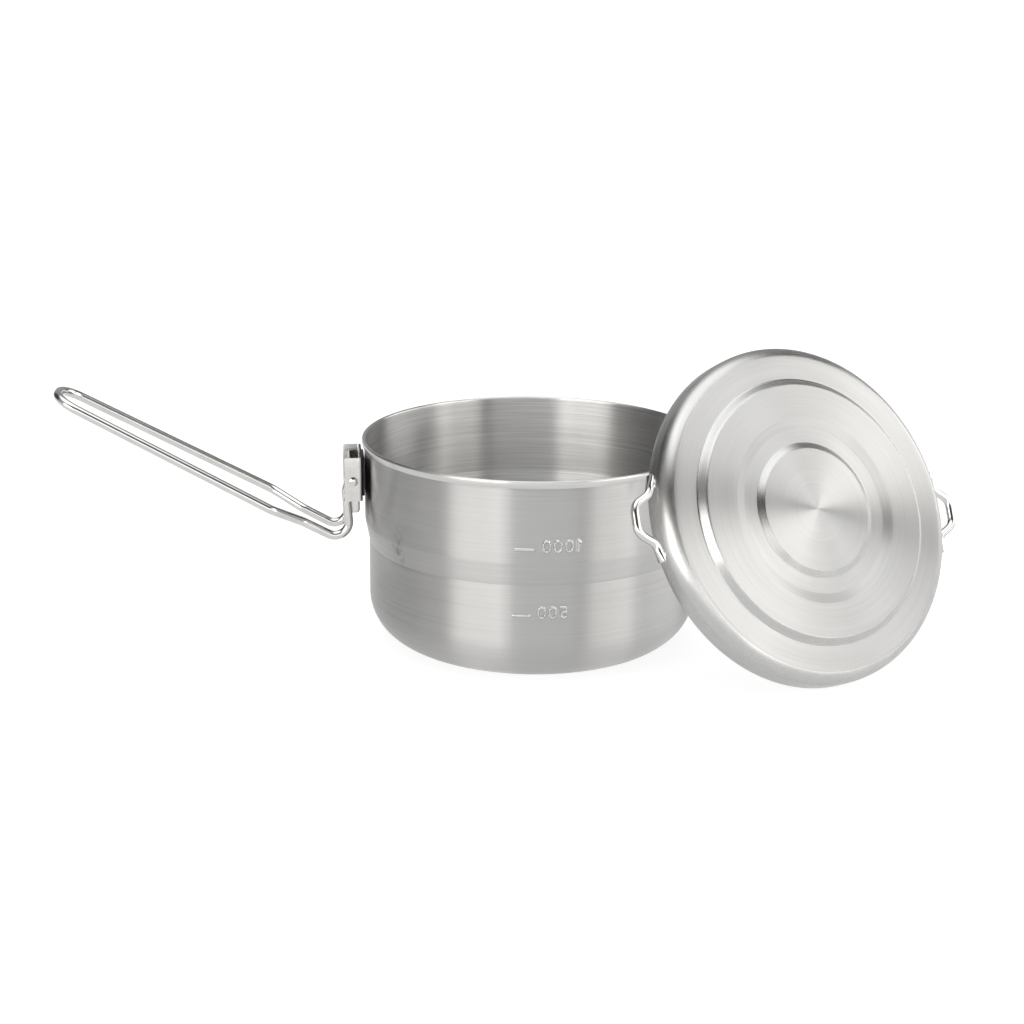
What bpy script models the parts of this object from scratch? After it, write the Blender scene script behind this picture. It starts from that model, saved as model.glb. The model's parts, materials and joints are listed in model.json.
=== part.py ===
"""Camping pot set: a drawn steel pot with a fold-over wire handle, and its lid.

The pot stands on z = 0 with its axis on z and its handle towards -X.  The lid, a
drop-in lid with two wire ears, stands on its edge and leans on the pot's rim.
All lengths are metres.
"""

from math import acos, cos, pi, radians, sin, tan

import bmesh
import bpy
from mathutils import Matrix, Vector

GAP = 0.0003                    # clearance between neighbouring solids
CUT_MARGIN = 0.0020             # how far a cutter reaches past what it cuts
SHARP_ANGLE = radians(35.0)     # edges sharper than this are not shaded smooth

# Pot
POT_SHEET = 0.0006
POT_HEIGHT = 0.0920
POT_LOWER_RADIUS = 0.0735       # outside of the wall below the step
POT_UPPER_RADIUS = 0.0754       # outside of the wall above the step
POT_RIM_RADIUS = 0.0765         # outside of the rolled rim
POT_RIM_HEIGHT = 0.0032
POT_RIM_SHOULDER = 0.0009       # height over which the wall widens into the rim
POT_STEP_LOW = 0.0460
POT_STEP_HIGH = 0.0560
POT_CORNER_RADIUS = 0.0210
POT_SEGMENTS = 64
POT_CORNER_STEPS = 7
POT_RIM_STEPS = 4

# Lid, turned about its own axis, with its open edge at height 0
LID_SHEET = 0.0006
LID_RADIUS = 0.0743
LID_HEIGHT = 0.0130             # open edge to the outer annulus
LID_CORNER_RADIUS = 0.0070
LID_RAISED_OUTER = 0.0585       # radius where the raised annulus starts to climb
LID_RAISED_SLOPE = 0.0029       # width of that slope
LID_RAISED_INNER = 0.0407
LID_GROOVE_OUTER = 0.0362
LID_CENTRE_OUTER = 0.0299
LID_CENTRE_SLOPE = 0.0031
LID_RAISED_LEVEL = 0.0033       # levels above the outer annulus
LID_GROOVE_LEVEL = 0.0019
LID_CENTRE_LEVEL = 0.0038
LID_CONE_RISE = 0.0006
LID_SEGMENTS = 48
LID_CORNER_STEPS = 5

# Where the lid stands
LID_CENTRE_X = 0.1080
LID_CENTRE_Y = -0.0484
LID_TURN = radians(26.0)        # its face turns from -Y towards +X
LID_LEAN = radians(27.95)       # its face looks up by this much
LID_SPIN = radians(-7.5)        # the ears' line from the horizontal

# Lid ears
EAR_WIRE_RADIUS = 0.0018
EAR_HEIGHT = 0.0046             # wire centre above the lid's open edge
EAR_REACH = 0.0842              # lid axis to the outermost wire centre
EAR_END_ANGLE = radians(14.0)
EAR_FOOT_ANGLE = radians(8.0)
EAR_TOP_ANGLE = radians(3.9)
EAR_BEND_RADIUS = 0.0055
EAR_BEND_STEPS = 4
EAR_SIDES = 8

# Handle, in a side view with s = -x measured outwards from the pot's axis
WIRE_RADIUS = 0.0020
WIRE_SIDES = 10
WIRE_BEND_STEPS = 5
PIVOT_S = 0.0808
PIVOT_Z = 0.0757
LEG_SPACING = 0.0096            # half the distance between the two legs
NECK_SPACING = 0.0108           # the same where the loop begins to widen
LOOP_SPACING = 0.0172           # half the width of the loop at its widest
TIP_SPACING = 0.0116            # and at its tip
LEG_SHOULDER = (0.0837, 0.0655)
ELBOW = (0.0821, 0.0460)
ARM_RISE = radians(28.75)
NECK_INNER_S = 0.1030
NECK_OUTER_S = 0.1165
LOOP_END_S = 0.2070
SHOULDER_BEND = 0.0040
ELBOW_BEND = 0.0060
NECK_BEND = 0.0080
LOOP_BEND = 0.0105
EYE_RADIUS = 0.0028
EYE_THICKNESS = 0.0028
EYE_HOLE_RADIUS = 0.0012

# Pivot pin
PIN_RADIUS = 0.0008
PIN_HEAD_RADIUS = 0.0020
PIN_HEAD_THICKNESS = 0.0008
PIN_CHAMFER = 0.0003
PIN_SEGMENTS = 16

# Handle bracket, a U open outwards on a weld pad
BRACKET_SHEET = 0.0008
BRACKET_HALF_WIDTH = 0.0127
BRACKET_BACK_S = 0.0767
BRACKET_FRONT_S = 0.0846
BRACKET_LOW = 0.0668
BRACKET_HIGH = 0.0864
PAD_HALF_WIDTH = 0.0080
PAD_LOW = 0.0680
PAD_HIGH = 0.0850

# Lock slide, a U open towards the pot that runs between the handle's legs
SLIDE_SHEET = 0.0007
SLIDE_HALF_WIDTH = 0.0073
SLIDE_BACK_S = 0.0779
SLIDE_FRONT_S = 0.0827
SLIDE_LOW = 0.0598
SLIDE_HIGH = 0.0850
SLIDE_NOSE_RADIUS = 0.0016
SLIDE_NOSE_STEPS = 4
SLIDE_SLOT_STEPS = 6
SLIDE_TRAVEL = 0.0060


def clear_scene():
    for item in list(bpy.data.objects):
        bpy.data.objects.remove(item, do_unlink=True)


def make_material(name, colour, roughness):
    material = bpy.data.materials.new(name)
    material.use_nodes = True
    shader = material.node_tree.nodes["Principled BSDF"]
    shader.inputs["Base Color"].default_value = (*colour, 1.0)
    shader.inputs["Roughness"].default_value = roughness
    shader.inputs["Metallic"].default_value = 1.0
    return material


def make_empty(name, location=(0.0, 0.0, 0.0)):
    empty = bpy.data.objects.new(name, None)
    empty.location = location
    bpy.context.scene.collection.objects.link(empty)
    return empty


def make_object(name, mesh_builder, material, parent=None):
    """Close a bmesh into a smooth-shaded object, with its faces pointing out."""
    bmesh.ops.recalc_face_normals(mesh_builder, faces=mesh_builder.faces)
    mesh = bpy.data.meshes.new(name)
    mesh_builder.to_mesh(mesh)
    mesh_builder.free()
    mesh.shade_smooth()
    mesh.set_sharp_from_angle(angle=SHARP_ANGLE)
    item = bpy.data.objects.new(name, mesh)
    bpy.context.scene.collection.objects.link(item)
    if material:
        mesh.materials.append(material)
    if parent:
        item.parent = parent
    return item


def place_under(item, pivot):
    """Parent an object modelled in world space to an empty that is not rotated."""
    item.parent = pivot
    item.location = -pivot.location


def combine(item, helper, operation):
    """Add a Boolean with a helper that is only a construction shape."""
    helper.hide_render = True
    helper.display_type = "WIRE"
    modifier = item.modifiers.new(helper.name, "BOOLEAN")
    modifier.operation = operation
    modifier.object = helper


def arc(centre, radius, start, stop, steps):
    """Points of an arc in a plane, both ends included; angles in degrees."""
    points = []
    for step in range(steps + 1):
        angle = radians(start + (stop - start) * step / steps)
        points.append((centre[0] + radius * cos(angle), centre[1] + radius * sin(angle)))
    return points


def turned(profile, segments):
    """Turn a profile of (radius, height) points about z; it starts and ends on z."""
    builder = bmesh.new()
    rings = []
    for radius, height in profile:
        if radius == 0.0:
            rings.append([builder.verts.new((0.0, 0.0, height))])
            continue
        ring = []
        for index in range(segments):
            angle = 2.0 * pi * index / segments
            ring.append(builder.verts.new((radius * cos(angle), radius * sin(angle), height)))
        rings.append(ring)
    for lower, upper in zip(rings, rings[1:]):
        for index in range(segments):
            following = (index + 1) % segments
            corners = [lower[index % len(lower)], lower[following % len(lower)],
                       upper[following % len(upper)], upper[index % len(upper)]]
            builder.faces.new(list(dict.fromkeys(corners)))
    return builder


def prism(outline, low, high):
    """Extrude an outline of (x, z) points along Y."""
    builder = bmesh.new()
    face = builder.faces.new([builder.verts.new((x, low, z)) for x, z in outline])
    extruded = bmesh.ops.extrude_face_region(builder, geom=[face])
    far_side = [part for part in extruded["geom"] if isinstance(part, bmesh.types.BMVert)]
    bmesh.ops.translate(builder, verts=far_side, vec=(0.0, high - low, 0.0))
    return builder


def block(s_range, half_width, z_range):
    """A box on the handle's side of the pot, from its s, y and z extents."""
    corners = [(-s_range[0], z_range[0]), (-s_range[1], z_range[0]),
               (-s_range[1], z_range[1]), (-s_range[0], z_range[1])]
    return prism(corners, -half_width, half_width)


def filleted(corners, steps):
    """A path through corners (point, bend radius), with an arc at each inner one."""
    path = [Vector(corners[0][0])]
    for (before, _), (corner, radius), (after, _) in zip(corners, corners[1:], corners[2:]):
        corner = Vector(corner)
        back = (Vector(before) - corner).normalized()
        ahead = (Vector(after) - corner).normalized()
        half = acos(max(-1.0, min(1.0, back.dot(ahead)))) / 2.0
        centre = corner + (back + ahead).normalized() * radius / sin(half)
        start = (corner + back * radius / tan(half) - centre).normalized()
        stop = (corner + ahead * radius / tan(half) - centre).normalized()
        for step in range(steps + 1):
            path.append(centre + start.slerp(stop, step / steps) * radius)
    path.append(Vector(corners[-1][0]))
    return path


def swept_wire(path, radius, sides):
    """A round wire along a path, with flat ends."""
    builder = bmesh.new()
    rings = []
    normal = None
    for index, point in enumerate(path):
        ahead = path[min(index + 1, len(path) - 1)]
        behind = path[max(index - 1, 0)]
        tangent = (ahead - behind).normalized()
        if normal is None:
            normal = tangent.orthogonal()
        normal = (normal - tangent * normal.dot(tangent)).normalized()
        across = tangent.cross(normal)
        ring = []
        for side in range(sides):
            angle = 2.0 * pi * side / sides
            offset = normal * cos(angle) + across * sin(angle)
            ring.append(builder.verts.new(point + offset * radius))
        rings.append(ring)
    for lower, upper in zip(rings, rings[1:]):
        for side in range(sides):
            following = (side + 1) % sides
            builder.faces.new((lower[side], lower[following], upper[following], upper[side]))
    builder.faces.new(rings[0])
    builder.faces.new(rings[-1])
    return builder


def cross_cylinder(radius, low, high):
    """A cylinder along Y on the pivot axis."""
    outline = arc((-PIVOT_S, PIVOT_Z), radius, 0.0, 360.0, PIN_SEGMENTS)[:-1]
    return prism(outline, low, high)


def make_pot(material, root):
    rim_low = POT_HEIGHT - POT_RIM_HEIGHT
    mouth = POT_UPPER_RADIUS - POT_SHEET
    roll = (POT_RIM_RADIUS - mouth) / 2.0
    roll_centre = POT_RIM_RADIUS - roll
    bottom_flat = POT_LOWER_RADIUS - POT_CORNER_RADIUS
    corner = (bottom_flat, POT_CORNER_RADIUS)
    lower_inside = POT_LOWER_RADIUS - POT_SHEET
    profile = [(0.0, 0.0)]
    profile += arc(corner, POT_CORNER_RADIUS, -90.0, 0.0, POT_CORNER_STEPS)
    profile += [(POT_LOWER_RADIUS, POT_STEP_LOW), (POT_UPPER_RADIUS, POT_STEP_HIGH)]
    profile += [(POT_UPPER_RADIUS, rim_low - POT_RIM_SHOULDER / 2.0),
                (POT_RIM_RADIUS, rim_low + POT_RIM_SHOULDER / 2.0)]
    profile += arc((roll_centre, POT_HEIGHT - roll), roll, 0.0, 180.0, POT_RIM_STEPS)
    profile += [(mouth, POT_STEP_HIGH), (lower_inside, POT_STEP_LOW)]
    profile += arc(corner, POT_CORNER_RADIUS - POT_SHEET, 0.0, -90.0, POT_CORNER_STEPS)
    profile += [(0.0, POT_SHEET)]
    return make_object("pot_body", turned(profile, POT_SEGMENTS), material, root)


def lid_face():
    """The lid's upper surface from its axis to the outer annulus."""
    level = LID_HEIGHT
    return [(0.0, level + LID_CENTRE_LEVEL + LID_CONE_RISE),
            (LID_CENTRE_OUTER - LID_CENTRE_SLOPE, level + LID_CENTRE_LEVEL),
            (LID_CENTRE_OUTER, level + LID_GROOVE_LEVEL),
            (LID_GROOVE_OUTER, level + LID_GROOVE_LEVEL),
            (LID_RAISED_INNER, level + LID_RAISED_LEVEL),
            (LID_RAISED_OUTER - LID_RAISED_SLOPE, level + LID_RAISED_LEVEL),
            (LID_RAISED_OUTER, level)]


def make_lid(material, root):
    face = lid_face()
    corner = (LID_RADIUS - LID_CORNER_RADIUS, LID_HEIGHT - LID_CORNER_RADIUS)
    profile = list(face)
    profile += arc(corner, LID_CORNER_RADIUS, 90.0, 0.0, LID_CORNER_STEPS)
    profile += [(LID_RADIUS, 0.0), (LID_RADIUS - LID_SHEET, 0.0)]
    profile += arc(corner, LID_CORNER_RADIUS - LID_SHEET, 0.0, 90.0, LID_CORNER_STEPS)
    profile += [(radius, height - LID_SHEET) for radius, height in reversed(face)]
    return make_object("lid_shell", turned(profile, LID_SEGMENTS), material, root)


def lid_point(radius, angle):
    return (radius * cos(angle), radius * sin(angle), EAR_HEIGHT)


def make_ear(name, middle, material, root):
    """A wire ear whose two ends lie along the lid's skirt."""
    seat = LID_RADIUS + GAP + EAR_WIRE_RADIUS
    foot = seat / cos((EAR_END_ANGLE - EAR_FOOT_ANGLE) / 2.0)
    half = [(seat, EAR_END_ANGLE), (foot, EAR_FOOT_ANGLE), (EAR_REACH, EAR_TOP_ANGLE)]
    corners = [(lid_point(radius, middle + angle), EAR_BEND_RADIUS) for radius, angle in half]
    corners += [(lid_point(radius, middle - angle), EAR_BEND_RADIUS)
                for radius, angle in reversed(half)]
    builder = swept_wire(filleted(corners, EAR_BEND_STEPS), EAR_WIRE_RADIUS, EAR_SIDES)
    return make_object(name, builder, material, root)


def make_handle(material, fold):
    """One bent wire with a flattened eye at each end."""
    def arm_height(s):
        return ELBOW[1] + (s - ELBOW[0]) * tan(ARM_RISE)

    side = [((PIVOT_S, PIVOT_Z), LEG_SPACING, 0.0),
            (LEG_SHOULDER, LEG_SPACING, SHOULDER_BEND),
            (ELBOW, LEG_SPACING, ELBOW_BEND),
            ((NECK_INNER_S, arm_height(NECK_INNER_S)), NECK_SPACING, NECK_BEND),
            ((NECK_OUTER_S, arm_height(NECK_OUTER_S)), LOOP_SPACING, NECK_BEND),
            ((LOOP_END_S, arm_height(LOOP_END_S)), TIP_SPACING, LOOP_BEND)]
    corners = [((-s, -y, z), bend) for (s, z), y, bend in side]
    corners += [((-s, y, z), bend) for (s, z), y, bend in reversed(side)]
    path = filleted(corners, WIRE_BEND_STEPS)
    wire = make_object("handle_wire", swept_wire(path, WIRE_RADIUS, WIRE_SIDES), material)
    reach = WIRE_RADIUS + CUT_MARGIN
    for label, middle in (("near", -LEG_SPACING), ("far", LEG_SPACING)):
        low = middle - EYE_THICKNESS / 2.0
        high = middle + EYE_THICKNESS / 2.0
        eye = make_object(f"eye_{label}", cross_cylinder(EYE_RADIUS, low, high), None)
        hole = make_object(f"eye_hole_{label}",
                           cross_cylinder(EYE_HOLE_RADIUS, middle - reach, middle + reach), None)
        combine(wire, eye, "UNION")
        combine(wire, hole, "DIFFERENCE")
    place_under(wire, fold)
    return wire


def make_pin(material, root):
    """A headed pin along Y through the bracket, the eyes and the lock slide."""
    shank = BRACKET_HALF_WIDTH + GAP
    end = shank + PIN_HEAD_THICKNESS
    bevelled = PIN_HEAD_RADIUS - PIN_CHAMFER
    profile = [(0.0, -end), (bevelled, -end), (PIN_HEAD_RADIUS, -end + PIN_CHAMFER),
               (PIN_HEAD_RADIUS, -shank), (PIN_RADIUS, -shank), (PIN_RADIUS, shank),
               (PIN_HEAD_RADIUS, shank), (PIN_HEAD_RADIUS, end - PIN_CHAMFER),
               (bevelled, end), (0.0, end)]
    pin = make_object("pivot_pin", turned(profile, PIN_SEGMENTS), material, root)
    pin.rotation_euler = (radians(-90.0), 0.0, 0.0)
    pin.location = (-PIVOT_S, 0.0, PIVOT_Z)
    return pin


def make_bracket(material, root):
    bracket = make_object("handle_bracket",
                          block((BRACKET_BACK_S, BRACKET_FRONT_S), BRACKET_HALF_WIDTH,
                                (BRACKET_LOW, BRACKET_HIGH)), material, root)
    hollow = make_object("bracket_hollow",
                         block((BRACKET_BACK_S + BRACKET_SHEET, BRACKET_FRONT_S + CUT_MARGIN),
                               BRACKET_HALF_WIDTH - BRACKET_SHEET,
                               (BRACKET_LOW - CUT_MARGIN, BRACKET_HIGH + CUT_MARGIN)), None)
    pad = make_object("bracket_pad",
                      block((POT_UPPER_RADIUS + GAP, BRACKET_BACK_S + BRACKET_SHEET / 2.0),
                            PAD_HALF_WIDTH, (PAD_LOW, PAD_HIGH)), None)
    reach = BRACKET_HALF_WIDTH + CUT_MARGIN
    hole = make_object("bracket_hole",
                       cross_cylinder(PIN_RADIUS + GAP, -reach, reach), None)
    combine(bracket, hollow, "DIFFERENCE")
    combine(bracket, pad, "UNION")
    combine(bracket, hole, "DIFFERENCE")
    return bracket


def make_lock_slide(material, slide):
    """A bent channel with a rounded nose below and a slot for the pin."""
    nose = SLIDE_NOSE_RADIUS
    nose_z = SLIDE_LOW + nose
    outline = arc((-SLIDE_FRONT_S + nose, nose_z), nose, 180.0, 270.0, SLIDE_NOSE_STEPS)
    outline += arc((-SLIDE_BACK_S - nose, nose_z), nose, 270.0, 360.0, SLIDE_NOSE_STEPS)
    outline += [(-SLIDE_BACK_S, SLIDE_HIGH), (-SLIDE_FRONT_S, SLIDE_HIGH)]
    channel = make_object("lock_slide",
                          prism(outline, -SLIDE_HALF_WIDTH, SLIDE_HALF_WIDTH), material)
    hollow = make_object("slide_hollow",
                         block((SLIDE_BACK_S - CUT_MARGIN, SLIDE_FRONT_S - SLIDE_SHEET),
                               SLIDE_HALF_WIDTH - SLIDE_SHEET,
                               (SLIDE_LOW - CUT_MARGIN, SLIDE_HIGH + CUT_MARGIN)), None)
    width = PIN_RADIUS + GAP
    slot = arc((-PIVOT_S, PIVOT_Z), width, 0.0, 180.0, SLIDE_SLOT_STEPS)
    slot += arc((-PIVOT_S, PIVOT_Z - SLIDE_TRAVEL), width, 180.0, 360.0, SLIDE_SLOT_STEPS)
    reach = SLIDE_HALF_WIDTH + CUT_MARGIN
    window = make_object("slide_slot", prism(slot, -reach, reach), None)
    combine(channel, hollow, "DIFFERENCE")
    combine(channel, window, "DIFFERENCE")
    place_under(channel, slide)
    return channel


def lid_matrix():
    """Stand the lid on its edge at z = 0, with its face turned and leaning back."""
    outward = Vector((sin(LID_TURN) * cos(LID_LEAN), -cos(LID_TURN) * cos(LID_LEAN),
                      sin(LID_LEAN)))
    level = Vector((cos(LID_TURN), sin(LID_TURN), 0.0))
    upward = outward.cross(level)
    frame = Matrix((level, upward, outward)).transposed().to_4x4()
    centre = Vector((LID_CENTRE_X, LID_CENTRE_Y, LID_RADIUS * cos(LID_LEAN)))
    return Matrix.Translation(centre) @ frame @ Matrix.Rotation(LID_SPIN, 4, "Z")


def build():
    clear_scene()
    brushed = make_material("brushed steel", (0.56, 0.55, 0.53), 0.34)
    polished = make_material("polished steel", (0.70, 0.69, 0.67), 0.12)
    root = make_empty("pot_set")
    fold = make_empty("handle_fold_axis", (-PIVOT_S, 0.0, PIVOT_Z))
    slide = make_empty("lock_slide_start", (-SLIDE_FRONT_S, 0.0, SLIDE_LOW))
    lid = make_empty("lid_axis")
    lid.matrix_world = lid_matrix()
    for pivot in (fold, slide, lid):
        pivot.parent = root
    make_pot(brushed, root)
    make_bracket(polished, root)
    make_pin(polished, root)
    make_handle(polished, fold)
    make_lock_slide(polished, slide)
    make_lid(brushed, lid)
    make_ear("lid_ear_left", pi, polished, lid)
    make_ear("lid_ear_right", 0.0, polished, lid)


build()
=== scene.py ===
"""The looks of the camping pot set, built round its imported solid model.

Every length is in metres, in the model's own frame: the pot stands on z = 0 with its
axis on z and its handle towards -X, and the lid leans on the rim at +X.  The letter s
stands for a distance from the pot's axis towards the handle, so that x = -s.
"""

import json
from math import acos, asin, atan2, ceil, cos, degrees, exp, hypot, pi, radians, sin, sqrt, tan

import bmesh
import bpy
import numpy as np
from mathutils import Matrix, Vector

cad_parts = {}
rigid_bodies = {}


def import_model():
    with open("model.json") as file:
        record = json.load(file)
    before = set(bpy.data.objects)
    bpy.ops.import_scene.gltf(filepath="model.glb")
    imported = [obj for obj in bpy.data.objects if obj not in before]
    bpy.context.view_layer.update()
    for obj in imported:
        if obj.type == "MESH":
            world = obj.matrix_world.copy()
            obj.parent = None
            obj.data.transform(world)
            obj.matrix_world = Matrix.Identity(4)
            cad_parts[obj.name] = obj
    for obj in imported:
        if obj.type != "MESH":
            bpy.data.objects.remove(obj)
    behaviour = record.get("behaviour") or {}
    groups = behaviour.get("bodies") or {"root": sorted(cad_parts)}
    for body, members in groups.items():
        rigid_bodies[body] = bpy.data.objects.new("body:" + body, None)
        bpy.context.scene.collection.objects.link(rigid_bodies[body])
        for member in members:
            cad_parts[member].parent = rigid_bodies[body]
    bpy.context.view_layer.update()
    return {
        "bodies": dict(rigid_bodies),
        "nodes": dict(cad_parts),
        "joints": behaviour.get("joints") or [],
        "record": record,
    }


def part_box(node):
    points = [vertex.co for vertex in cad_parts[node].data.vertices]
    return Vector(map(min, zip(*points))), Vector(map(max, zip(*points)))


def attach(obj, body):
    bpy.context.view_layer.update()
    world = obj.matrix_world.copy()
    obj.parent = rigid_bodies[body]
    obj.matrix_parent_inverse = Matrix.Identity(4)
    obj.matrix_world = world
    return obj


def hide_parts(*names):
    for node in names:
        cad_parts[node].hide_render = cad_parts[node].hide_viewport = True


# Pot, as in the solid model
POT_SHEET = 0.0006
POT_LOWER_RADIUS = 0.0735
POT_UPPER_RADIUS = 0.0754
POT_RIM_HEIGHT = 0.0032
POT_STEP_LOW = 0.0460
POT_STEP_HIGH = 0.0560
POT_CORNER_RADIUS = 0.0210
POT_STEP_BEND = 0.0030          # radius of the bends above and below the step
POT_CREASE_DEPTH = 0.00012      # fine groove where the step meets the lower wall
POT_CREASE_HALF_WIDTH = 0.0006
HEM_BULGE = 0.0005              # how far the rolled rim's outside is domed

# Volume marks, pressed outwards from the inside, so they read the right way round inside
MARK_TURN = radians(-96.14)     # direction that the marks' arc positions start from
MARK_RISE = 0.00060
MARK_STROKE = 0.00046           # half the width of a stroke
MARK_EDGE = 0.00034             # width of a stroke's soft shoulder
MARK_SHOWN = 0.15               # share of the rise above which a mark has its own finish
DIGIT_HEIGHT = 0.0056
DIGIT_PITCH = 0.0048
DIGIT_REACH = (0.0030, 0.0036)  # how far a digit's strokes reach from its middle, across and up
ONE_SHIFT = 0.0011              # how much closer a 1 stands to the digit on its inner side
BAR_LENGTH = 0.0074
BAR_DROP = 0.0015               # from the middle of the digits down to their bar
BAR_REACH = 0.0020              # how far a bar's stroke reaches up and down

# Each mark: its digits in the order of the arc, the arc position of the first one, the height
# of their middle and the arc position where the bar starts
VOLUME_MARKS = (("0001", 0.0051, 0.0638, -0.0079), ("005", 0.0035, 0.0342, -0.0092))
MARKED_ARC = (-0.0110, 0.0220)
MARKED_HEIGHTS = (0.0280, 0.0700)  # the step's crease lies between these too

# Lid, as in the solid model; heights start at its open edge
LID_SHEET = 0.0006
LID_RADIUS = 0.0743
LID_HEIGHT = 0.0130
LID_CORNER_RADIUS = 0.0070
LID_RAISED_OUTER = 0.0585
LID_RAISED_SLOPE = 0.0029
LID_RAISED_INNER = 0.0407
LID_GROOVE_OUTER = 0.0362
LID_CENTRE_OUTER = 0.0299
LID_CENTRE_SLOPE = 0.0031
LID_RAISED_LEVEL = 0.0033
LID_GROOVE_LEVEL = 0.0019
LID_CENTRE_LEVEL = 0.0038
LID_CONE_RISE = 0.0006
LID_CENTRE_X = 0.1080
LID_CENTRE_Y = -0.0484
LID_TURN = radians(26.0)
LID_LEAN = radians(27.95)
LID_SPIN = radians(-7.5)
LID_BEND = 0.0016               # radius of the bends between the rings
LID_ROW = 0.0022                # longest run of the face's profile
LID_COLUMNS = 180
SKIRT_ROW = 0.0030              # height of a row of points on the skirt
FORMED_SLOPE = 0.35             # a lid surface steeper than this is less brushed than the rest

# Lid ears
EAR_WIRE_RADIUS = 0.0018
EAR_HEIGHT = 0.0046
EAR_REACH = 0.0842
EAR_END_ANGLE = radians(14.0)
EAR_FOOT_ANGLE = radians(8.0)
EAR_TOP_ANGLE = radians(3.9)
EAR_BEND_RADIUS = 0.0055
EAR_END_FLAT = 0.0060           # length of wire that is hammered flat at each end
EAR_THINNING = 0.28             # share that the hammered end loses in thickness
EAR_WIDENING = 0.38             # share that it gains in width
EAR_TIP_SHARE = 0.62            # size of the very tip, as a share of the hammered end's
EAR_TIP_LENGTH = 0.0011         # length over which the tip's share would grow by 1
EAR_ROW = 0.0006
BEAD_ANGLE = radians(11.5)      # from an ear's middle to the weld beads at its ends
BEAD_SIZE = (0.00075, 0.0024, 0.0013)  # half sizes outwards, along the skirt and up
BEAD_LIFT = 0.0002              # from the skirt to the bead's middle

# Handle wire and its pivot
WIRE_RADIUS = 0.0020
PIVOT_S = 0.0808
PIVOT_Z = 0.0757
LEG_SPACING = 0.0096
NECK_SPACING = 0.0108
LOOP_SPACING = 0.0172
TIP_SPACING = 0.0116
LEG_SHOULDER = (0.0837, 0.0655)
ELBOW = (0.0821, 0.0460)
ARM_RISE = radians(28.75)
NECK_INNER_S = 0.1030
NECK_OUTER_S = 0.1165
LOOP_END_S = 0.2070
SHOULDER_BEND = 0.0040
ELBOW_BEND = 0.0060
NECK_BEND = 0.0080
LOOP_BEND = 0.0105
EYE_RADIUS = 0.0028
EYE_THICKNESS = 0.0028
EYE_HOLE_RADIUS = 0.0012
EYE_HOLE_REACH = 0.0030         # half the length of the tool that cuts the eye's hole
PIN_RADIUS = 0.0008
PIN_HEAD_RADIUS = 0.0020
PIN_HEAD_THICKNESS = 0.0008
PIN_DOME = 0.0006
GAP = 0.0003
CUT_MARGIN = 0.0020

# Bracket and lock slide, as in the solid model
BRACKET_SHEET = 0.0008
BRACKET_HALF_WIDTH = 0.0127
BRACKET_BACK_S = 0.0767
BRACKET_FRONT_S = 0.0846
BRACKET_LOW = 0.0668
BRACKET_HIGH = 0.0864
BRACKET_BEND = 0.0012
BRACKET_CORNER = 0.0007         # rounding of the cheeks' free corners
PAD_HALF_WIDTH = 0.0080
PAD_LOW = 0.0680
PAD_HIGH = 0.0850
SLIDE_SHEET = 0.0007
SLIDE_HALF_WIDTH = 0.0073
SLIDE_BACK_S = 0.0779
SLIDE_FRONT_S = 0.0827
SLIDE_LOW = 0.0598
SLIDE_HIGH = 0.0850
SLIDE_NOSE_RADIUS = 0.0016
SLIDE_OUTER_BEND = 0.0010
SLIDE_INNER_BEND = 0.0006
SLIDE_TRAVEL = 0.0060
EDGE_BREAK = 0.00012            # rounding of sheared sheet edges

# Spot welds beside the bracket, as soft dents in the pot's wall
WELD_ANGLE = radians(12.4)
WELD_Z = 0.0779
WELD_RADIUS = 0.0011
WELD_DEPTH = 0.00016

# Rows and columns of the pot's mesh, which is finer at the marks and the welds
FINE_STEP = 0.00026
WALL_STEP = 0.0016
SHORT_RUN = 0.0010              # a run of the profile that climbs less than this stays whole
FINE_HEIGHTS = ((0.0305, 0.0375), (0.0604, 0.0668), (WELD_Z - 0.0030, WELD_Z + 0.0030))
FINE_ARC = (-0.0100, 0.0210)
WELD_HALF_ARC = 0.0035
WELD_COLUMN = radians(0.35)
WALL_COLUMN = radians(2.0)
BOTTOM_ROWS = (0.15, 0.30, 0.45, 0.60, 0.75, 0.90)
WALL, HEM, INSIDE, MARK = range(4)  # the pot's materials, in the order that make_pot is given them

# Camera
CAMERA_DISTANCE = 0.9185
CAMERA_ELEVATION = radians(16.54)
CAMERA_TURN = radians(-6.14)
CAMERA_ROLL = radians(0.54)
CAMERA_SIDE = -0.00938
CAMERA_LIFT = 0.05634
CAMERA_LENS = 71.65
FLOOR_SIZE = 24.0
FLOOR_DROP = 0.0002


# ---------------------------------------------------------------- small geometry helpers

def arc(centre, radius, start, stop, steps):
    """Points of an arc in a plane, both ends included; angles in degrees."""
    points = []
    for step in range(steps + 1):
        angle = radians(start + (stop - start) * step / steps)
        points.append((centre[0] + radius * cos(angle), centre[1] + radius * sin(angle)))
    return points


def filleted(corners, steps):
    """A path through corners (point, bend radius), with an arc at each bent one."""
    path = [np.array(corners[0][0], float)]
    for (before, _), (corner, radius), (after, _) in zip(corners, corners[1:], corners[2:]):
        corner = np.array(corner, float)
        if radius == 0.0:
            path.append(corner)
            continue
        back = np.array(before, float) - corner
        ahead = np.array(after, float) - corner
        back /= np.linalg.norm(back)
        ahead /= np.linalg.norm(ahead)
        half = acos(max(-1.0, min(1.0, float(back @ ahead)))) / 2.0
        middle = (back + ahead) / np.linalg.norm(back + ahead)
        centre = corner + middle * radius / sin(half)
        start = corner + back * radius / tan(half) - centre
        stop = corner + ahead * radius / tan(half) - centre
        sweep = pi - 2.0 * half
        for step in range(steps + 1):
            share = step / steps
            spoke = (start * sin((1.0 - share) * sweep) + stop * sin(share * sweep)) / sin(sweep)
            path.append(centre + spoke)
    path.append(np.array(corners[-1][0], float))
    return path


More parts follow.
